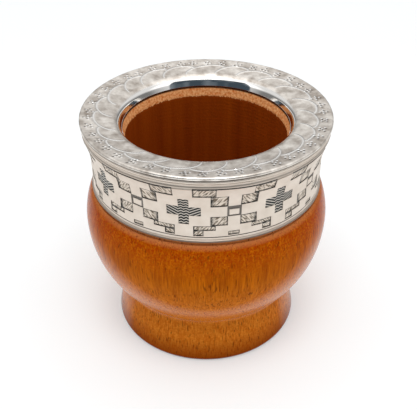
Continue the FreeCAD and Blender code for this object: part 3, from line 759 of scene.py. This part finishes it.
# %% Profile of the rim
EDGE_R, EDGE_ROUND, TOP_Z = 39.4, 0.6, 79.4
ROLL, THROAT_Z, RIM_SHEET, LIP_ROUND, LIP_LEAD = 3.15, 74.8, 0.8, 0.22, (0.05, 0.28)
UNDER_R, UNDER_Z = 38.2, 78.46
THROAT_OUT_R = THROAT_R + RIM_SHEET / math.cos(math.radians(TAPER))
roll_arc = arc((ROLL_R, ROLL_Z), ROLL, 90 + DISH, 180 - TAPER, 0.26)
under_arc = arc((ROLL_R, ROLL_Z), ROLL - RIM_SHEET, 180 - TAPER, 90 + DISH, 0.8)
flange_line = straight((EDGE_R, TOP_Z), tuple(roll_arc[0]), 0.2)
rim_profile = joined(
    flange_line,
    roll_arc,
    straight(tuple(roll_arc[-1]), (THROAT_R + LIP_LEAD[0], THROAT_Z + LIP_LEAD[1]), 0.6),
    arc((THROAT_R + LIP_ROUND, THROAT_Z + LIP_ROUND), LIP_ROUND, 160, 270, 0.12),
    straight((THROAT_R + LIP_ROUND, THROAT_Z), (THROAT_OUT_R, THROAT_Z), 0.4),
    straight((THROAT_OUT_R, THROAT_Z), tuple(under_arc[0]), 0.9),
    under_arc,
    straight(tuple(under_arc[-1]), (UNDER_R, UNDER_Z), 3.0),
    straight((UNDER_R, UNDER_Z), (UNDER_R, SEAT_Z), 0.3),
    straight((UNDER_R, SEAT_Z), (EDGE_R, SEAT_Z), 0.6),
    arc((EDGE_R, TOP_Z - EDGE_ROUND), EDGE_ROUND, -90, 90, 0.12)[:-1])
print(f"rim profile: {len(rim_profile)} points")

# %% [markdown]
# On the flange an engraver drew overlapping scales, like leaves laid round the
# mouth, and struck small clusters of dots outside them. Each scale is one stroke
# of the graver: a short rise to a crest, then a long fall towards the mouth that
# ends under the next scale. The line is sampled as a few dozen points, and its
# strength anywhere is a bell curve of the distance to the nearest of them. A dot
# is a flat-topped bell curve of the distance to its own centre. Both are drawn
# a little broader than real ones, so that they show in the picture.

# %% Strength of the engraving
SCALES, CREST_R, FALL, RISE, FALL_TURN, RISE_TURN = 22, 35.4, 5.6, 1.0, 14.0, 7.2
STROKE_POINTS, CROWDING, FALL_POWER = 28, 1.6, 1.7
CLUSTERS, CLUSTER_R, CLUSTER_REACH, CLUSTER_DOTS = 44, 37.2, 1.15, 4
DRAWN_LINE, DOT = 0.33, 0.32
HAND_SEED, HAND_TURN, HAND_OUT, HAND_REACH = 7, 0.12, (-0.3, 0.2), (0.8, 1.2)

# Slow waves of the hand: how far each goes, how many fit round the rim, and where it starts
SIDEWAYS_WANDER, OUTWARD_WANDER = ((1.1, 5, 0.0), (0.8, 11, 2.0)), ((0.25, 7, 1.0),)


def wander(angle, waves):
    """Sum of the waves: each is its reach times the sine of its count times the angle, plus its start."""
    return sum(reach * np.sin(count * angle + start) for reach, count, start in waves)


def scale_lines(angle, radius, offset=0.0):
    """Strength of the drawn scales: bell curve of the distance to the strokes, moved outwards by offset.

    The fall is (x / w) ** p + (y / h) ** p = 1 and the rise a quarter of an
    ellipse, in degrees sideways and mm inwards.
    """
    pitch = 360.0 / SCALES
    degrees = np.degrees(angle) + wander(angle, SIDEWAYS_WANDER)
    drawn_at = radius + wander(angle, OUTWARD_WANDER) - offset
    share = np.linspace(0.0, 1.0, STROKE_POINTS)
    crowded = 1 - (1 - share) ** CROWDING
    fall_turn, fall = FALL_TURN * crowded, FALL * (1 - (1 - crowded ** FALL_POWER) ** (1 / FALL_POWER))
    rise_turn, rise = -RISE_TURN * share, RISE * (1 - np.sqrt(1 - share ** 2))
    strength = np.zeros(np.broadcast(angle, radius).shape)
    for turn, drop in zip(np.append(fall_turn, rise_turn), np.append(fall, rise)):
        sideways = np.radians((degrees - turn + pitch / 2) % pitch - pitch / 2) * CREST_R
        outwards = drawn_at - CREST_R + drop
        strength = np.maximum(strength, np.exp(-(sideways ** 2 + outwards ** 2) / DRAWN_LINE ** 2))
    return strength


def dots(angle, radius, offset=(0.0, 0.0)):
    """Strength of the struck dots: a cluster is one dot inside a ring of others, each a bit out of place."""
    strength = np.zeros(np.broadcast(angle, radius).shape)
    hand = np.random.default_rng(HAND_SEED)
    for cluster in range(CLUSTERS):
        middle = (cluster + hand.uniform(-HAND_TURN, HAND_TURN)) * 2 * math.pi / CLUSTERS
        away = CLUSTER_R + hand.uniform(*HAND_OUT)
        heading = hand.uniform(0, math.pi) + np.arange(CLUSTER_DOTS) * 2 * math.pi / CLUSTER_DOTS
        reach = CLUSTER_REACH * hand.uniform(*HAND_REACH, CLUSTER_DOTS)
        local = (angle - middle + math.pi) % (2 * math.pi) - math.pi
        for dot_x, dot_y in zip(np.append(0.0, reach * np.cos(heading)), np.append(0.0, reach * np.sin(heading))):
            sideways = local * away - dot_x - offset[0]
            outwards = radius - away - dot_y - offset[1]
            strength = np.maximum(strength, np.exp(-((sideways ** 2 + outwards ** 2) / DOT ** 2) ** 2))
    return strength


print(f"{SCALES} scales, {CLUSTERS * (CLUSTER_DOTS + 1)} dots")

# %% [markdown]
# A graver throws up a burr on one side of its line, and a punch leaves a pit
# with a raised side that catches the light. So a line is a low ridge with a
# faint hollow outside it, and a dot is a pit with a bump beside it. All of it is
# real relief on the grid, and is stored too: the pits are darker in colour, and
# the finish paints a highlight on the lines and the bumps and shade in the hollows.

# %% Surface of the rim
LINE_HEIGHT, HOLLOW_DEPTH, DOT_DEPTH, BUMP_HEIGHT = 0.14, 0.06, 0.18, 0.13
HOLLOW_OFFSET, BUMP_OFFSET = 0.35, (0.40, -0.34)
SATIN_R, SATIN_BLUR, SATIN_LOW_Z = 28.1, 0.4, 77.0
SEAM_TOP_Z, SEAM_REACH, SEAM_R, SEAM_DARKNESS = 78.7, 0.4, 39.0, 0.9
RIM_COLUMNS = 1080
rim_angle = np.arange(RIM_COLUMNS) * 2 * math.pi / RIM_COLUMNS
rim_r, rim_z = rim_profile[:, :1], rim_profile[:, 1:]
on_flange = (np.arange(len(rim_profile)) < len(flange_line))[:, None]
lines = scale_lines(rim_angle[None, :], rim_r) * on_flange
hollow = scale_lines(rim_angle[None, :], rim_r, HOLLOW_OFFSET) * on_flange
struck = dots(rim_angle[None, :], rim_r) * on_flange
bump = dots(rim_angle[None, :], rim_r, BUMP_OFFSET) * on_flange
relief = LINE_HEIGHT * lines - HOLLOW_DEPTH * hollow - DOT_DEPTH * struck + BUMP_HEIGHT * bump
satin = np.clip((rim_r - SATIN_R) / SATIN_BLUR, 0, 1) * (rim_z > SATIN_LOW_Z)
# Painted shadow on the underside of the edge, along the seam where it sits on the collar
seam_shadow = SEAM_DARKNESS * np.clip((SEAM_TOP_Z - rim_z) / SEAM_REACH, 0, 1) * (rim_r > SEAM_R)
rim = turned("spun_rim_ring", rim_r, rim_z + relief, rim_angle, closed=True,
             attributes={"drawn": lines, "shaded": hollow, "struck": struck, "glint": bump, "satin": satin,
                         "shade_paint": seam_shadow})
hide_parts("rim_ring")

# %% [markdown]
# The rim is the same metal in two finishes. The flange and the edge are satin
# and cloudy from handling, with burnished lines and dark dots. The lines and
# the bump beside each dot are painted brighter as a highlight, the hollow
# outside each line gets painted shade, and the edge gets a painted shadow along
# the seam where it sits on the collar. The throat is polished like a mirror, so
# it picks up the tent and its opening. One stored value fades from the one to
# the other over the first part of the roll.

# %% Finish of the rim
RIM_CLOUD_MM, CLOUDS, SHADE_SHARE = 3.5, (0.3, 0.7), 0.6
POLISHED, SATIN, BURNISHED = 0.07, 0.34, 0.14

# Spun nickel silver: cloudy satin on the flange, a mirror in the throat
rim_metal, tree, output = new_material("spun_nickel_silver")
place = object_place(tree)
drawn, shaded, struck_mask, glint_mask, satin_mask, shade_paint = stored(
    tree, "drawn", "shaded", "struck", "glint", "satin", "shade_paint")
cloud = noise(tree, place, RIM_CLOUD_MM * MM, 5.0, 0.55)
flange_colour = mix(tree, ramp(tree, cloud, *CLOUDS), "#AEA398", "#FFF9F1")
base = mix(tree, satin_mask, "#F4F2EF", flange_colour)
# Painted shade in the faint hollow outside each line
dimmed = mix(tree, maths(tree, "MULTIPLY", shaded, SHADE_SHARE), base, "#6E6A66")
# Painted highlight: the lines near white, and a pure white painted glint on the bump beside each dot
lined = mix(tree, drawn, dimmed, "#FFFDFA")
lit_side = mix(tree, glint_mask, lined, "#FFFFFF")
# The dots are dark, and the painted shadow of the seam joins them
dark_mask = maths(tree, "MAXIMUM", struck_mask, shade_paint)
ground_gloss = ramp(tree, satin_mask, 0.0, 1.0, POLISHED, SATIN)
burnished = maths(tree, "MAXIMUM", drawn, glint_mask)
principled(tree, output, {"Base Color": mix(tree, dark_mask, lit_side, "#191410"), "Metallic": 1.0,
                          "Roughness": mix_numbers(tree, burnished, ground_gloss, BURNISHED)})
rim.data.materials.append(rim_metal)
print(f"{rim_metal.name}: {len(tree.nodes)} nodes")
